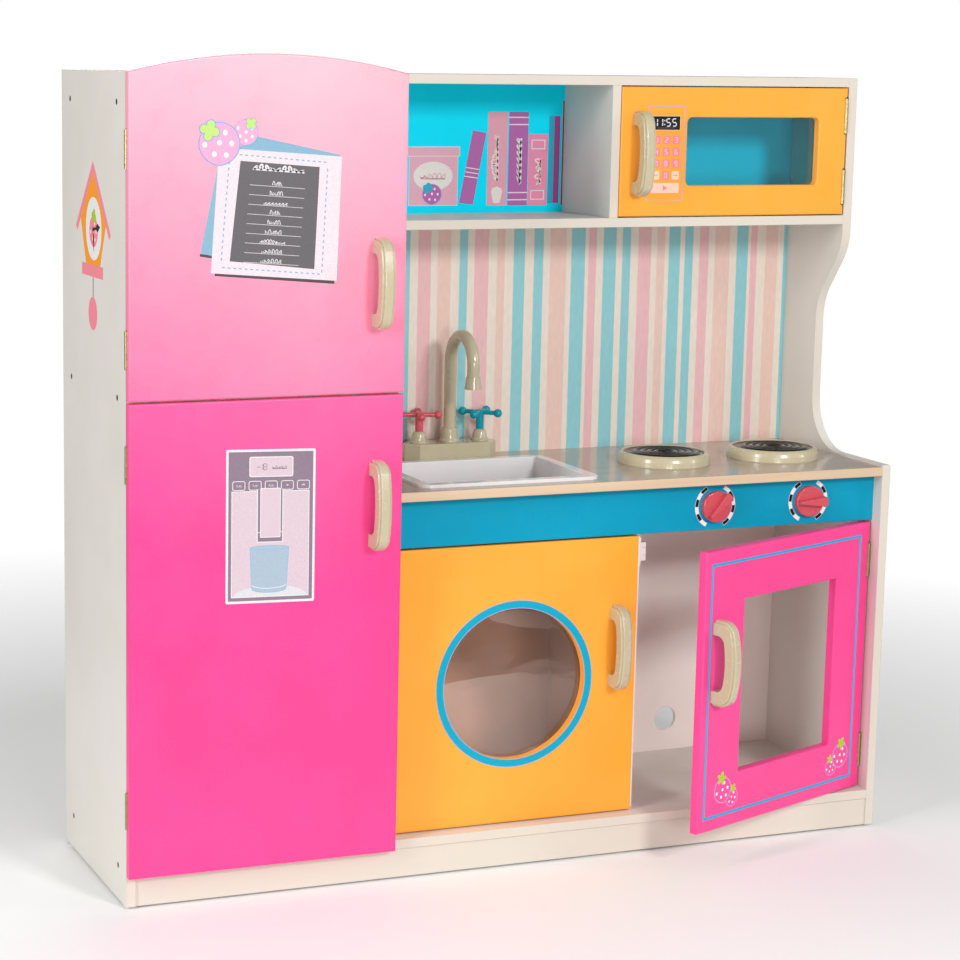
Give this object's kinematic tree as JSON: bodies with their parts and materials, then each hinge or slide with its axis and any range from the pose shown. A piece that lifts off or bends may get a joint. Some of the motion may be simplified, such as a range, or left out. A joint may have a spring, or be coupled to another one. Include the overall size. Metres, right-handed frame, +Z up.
{
  "type": "toy kitchen",
  "caption": "Wooden play kitchen with a two-door fridge, washer, oven, hob, sink and tap, microwave cupboard and open shelf.",
  "frame": {"origin": "on the floor, in the middle of the width, on the plane of the rear edges that stand against the wall", "axes": "+X to the viewer's right, the fronts face -Y, +Z up"},
  "size_m": [1.0522, 0.4172, 1.022],
  "materials": {
    "white_board": "painted MDF, semi-gloss off-white",
    "striped_board": "printed MDF, vertical pastel stripes",
    "blue_board": "painted MDF, blue",
    "pink_board": "painted MDF, pink, satin",
    "orange_board": "painted MDF, orange, satin",
    "cyan_board": "painted MDF, turquoise, satin",
    "worktop": "laminated MDF, glossy greige with a beige edge",
    "champagne_plastic": "glossy champagne plastic",
    "red_plastic": "glossy red plastic",
    "teal_plastic": "glossy teal plastic",
    "black_plastic": "matt black plastic",
    "white_plastic": "glossy off-white plastic",
    "clear_film": "clear plastic film",
    "smoked_pane": "smoked clear plastic",
    "hinge_steel": "brass-plated steel",
    "screw_steel": "zinc-plated steel"
  },
  "bodies": {
    "cabinet": {"panel_screws": "screw_steel", "left_side_panel": "white_board", "bottom_board": "white_board", "front_plinth": "white_board", "rear_rail": "white_board", "fridge_side_panel": "white_board", "fridge_middle_shelf": "white_board", "fridge_top_board": "white_board", "fridge_back_panel": "white_board", "middle_divider": "white_board", "hutch_shelf": "white_board", "hutch_top_board": "white_board", "hutch_divider": "white_board", "backsplash_panel": "striped_board", "hutch_back_panel": "blue_board", "lower_back_panel": "white_board", "right_side_panel": "white_board", "countertop": "worktop", "control_fascia": "cyan_board", "floor_glides": "white_plastic", "hinge_cabinet_leaves": "hinge_steel", "hinge_pins": "hinge_steel", "magnetic_catches": "white_plastic", "sink_basin": "white_plastic", "sink_drain": "champagne_plastic", "tap_deck": "champagne_plastic", "hot_tap_bell": "champagne_plastic", "cold_tap_bell": "champagne_plastic", "spout_collar": "champagne_plastic", "left_burner_ring": "champagne_plastic", "left_burner_coil": "black_plastic", "right_burner_ring": "champagne_plastic", "right_burner_coil": "black_plastic"},
    "upper_fridge_door": {"upper_fridge_door": "pink_board", "upper_fridge_handle": "champagne_plastic", "upper_fridge_door_hinge_leaves": "hinge_steel", "upper_fridge_strike_plate": "screw_steel"},
    "lower_fridge_door": {"lower_fridge_door": "pink_board", "lower_fridge_handle": "champagne_plastic", "lower_fridge_door_hinge_leaves": "hinge_steel", "lower_fridge_strike_plate": "screw_steel"},
    "washer_door": {"washer_door": "orange_board", "washer_handle": "champagne_plastic", "washer_door_hinge_leaves": "hinge_steel", "washer_strike_plate": "screw_steel", "washer_window_film": "clear_film"},
    "oven_door": {"oven_door": "pink_board", "oven_handle": "champagne_plastic", "oven_door_hinge_leaves": "hinge_steel", "oven_strike_plate": "screw_steel"},
    "microwave_door": {"microwave_door": "orange_board", "microwave_handle": "champagne_plastic", "microwave_door_hinge_leaves": "hinge_steel", "microwave_strike_plate": "screw_steel", "microwave_window_pane": "smoked_pane"},
    "spout": {"tap_spout": "champagne_plastic"},
    "hot_handle": {"hot_tap_handle": "red_plastic"},
    "cold_handle": {"cold_tap_handle": "teal_plastic"},
    "left_knob": {"left_hob_knob": "red_plastic"},
    "right_knob": {"right_hob_knob": "red_plastic"}
  },
  "joints": [
    {"name": "upper_fridge_door_hinge", "type": "hinge", "parent": "cabinet", "child": "upper_fridge_door", "pos_m": [-0.5245, -0.2867, 0.796], "axis": [0, 0, -1], "range_deg": [0, 150]},
    {"name": "lower_fridge_door_hinge", "type": "hinge", "parent": "cabinet", "child": "lower_fridge_door", "pos_m": [-0.5245, -0.2867, 0.335], "axis": [0, 0, -1], "range_deg": [0, 150]},
    {"name": "washer_door_hinge", "type": "hinge", "parent": "cabinet", "child": "washer_door", "pos_m": [-0.1763, -0.2645, 0.235], "axis": [0, 0, -1], "range_deg": [0, 92]},
    {"name": "oven_door_hinge", "type": "hinge", "parent": "cabinet", "child": "oven_door", "pos_m": [0.5103, -0.2645, 0.235], "axis": [0, 0, 1], "range_deg": [-21.75, 73.25]},
    {"name": "microwave_door_hinge", "type": "hinge", "parent": "cabinet", "child": "microwave_door", "pos_m": [0.5103, -0.1605, 0.903], "axis": [0, 0, 1], "range_deg": [0, 150]},
    {"name": "spout_swivel", "type": "hinge", "parent": "cabinet", "child": "spout", "pos_m": [-0.0123, -0.056, 0.5275], "axis": [0, 0, 1], "range_deg": [-80, 80]},
    {"name": "hot_handle_turn", "type": "hinge", "parent": "cabinet", "child": "hot_handle", "pos_m": [-0.0563, -0.056, 0.526], "axis": [0, 0, 1], "range_deg": [-90, 90]},
    {"name": "cold_handle_turn", "type": "hinge", "parent": "cabinet", "child": "cold_handle", "pos_m": [0.0317, -0.056, 0.526], "axis": [0, 0, 1], "range_deg": [-90, 90]},
    {"name": "left_knob_turn", "type": "hinge", "parent": "cabinet", "child": "left_knob", "pos_m": [0.274, -0.259, 0.451], "axis": [0, -1, 0], "continuous": true},
    {"name": "right_knob_turn", "type": "hinge", "parent": "cabinet", "child": "right_knob", "pos_m": [0.413, -0.259, 0.451], "axis": [0, -1, 0], "continuous": true}
  ]
}
